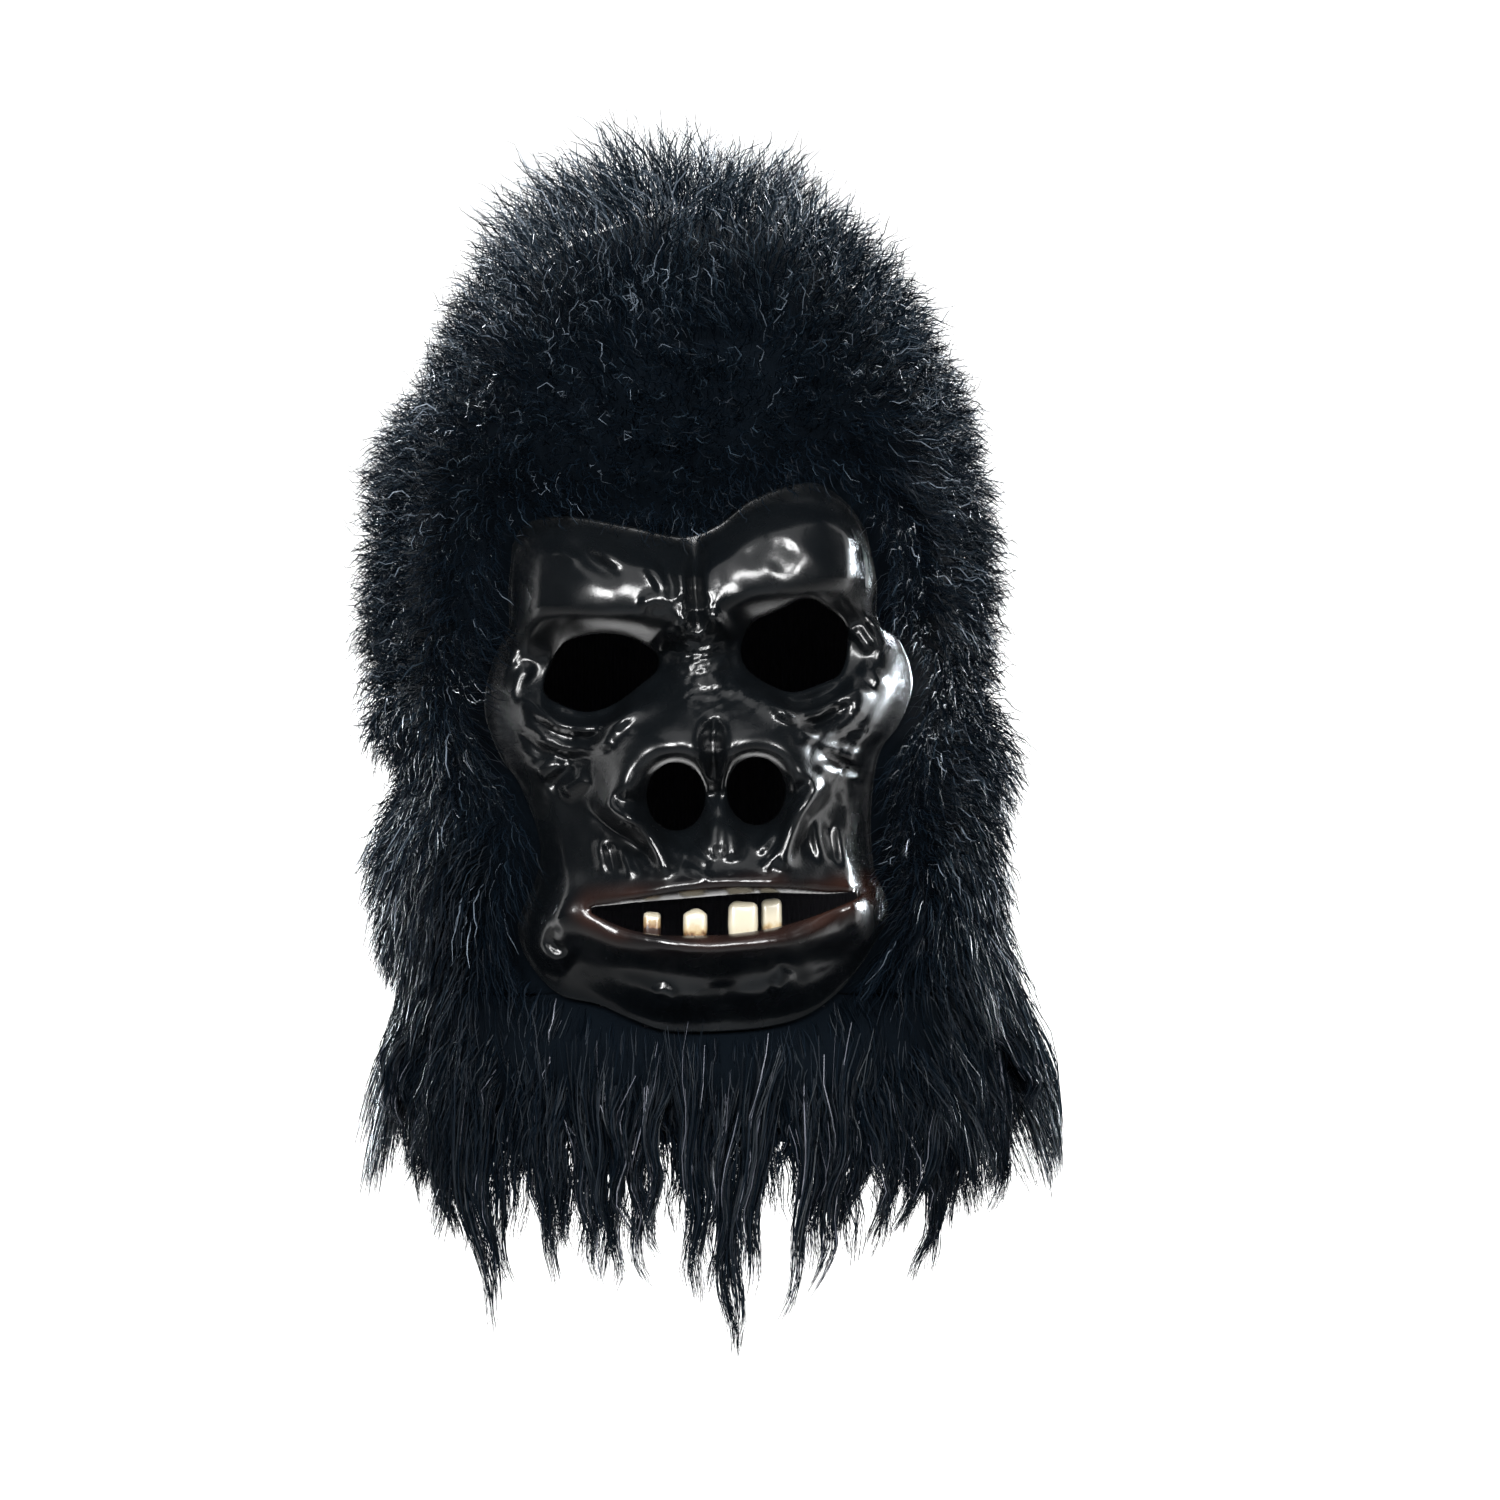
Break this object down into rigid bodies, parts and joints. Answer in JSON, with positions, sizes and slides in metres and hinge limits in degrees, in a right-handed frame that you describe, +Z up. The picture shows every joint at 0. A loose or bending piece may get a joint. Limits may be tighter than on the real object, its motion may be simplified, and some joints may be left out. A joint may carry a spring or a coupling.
{
  "type": "gorilla mask",
  "caption": "Pull-on gorilla mask: a glossy black moulded face with open eyes, nostrils and a toothy mouth, set in a shaggy black fur hood with a hanging beard.",
  "frame": {"origin": "inside of the crown of the hood, where the wearer's head bears", "axes": "+Z up through the crown, -Y the way the face looks, +X towards the wearer's left"},
  "size_m": [0.2215, 0.2589, 0.3824],
  "materials": {
    "vinyl": "gloss",
    "enamel": "gloss",
    "backing": "matt",
    "fur": "satin"
  },
  "bodies": {
    "root": {"face_shell": "vinyl", "tooth_1": "enamel", "tooth_2": "enamel", "tooth_3": "enamel", "tooth_4": "enamel", "hood_cloth_left": "backing", "hood_cloth_right": "backing", "beard_cloth": "backing", "hood_fur_left": "fur", "hood_fur_right": "fur", "beard_fur": "fur"}
  },
  "joints": []
}
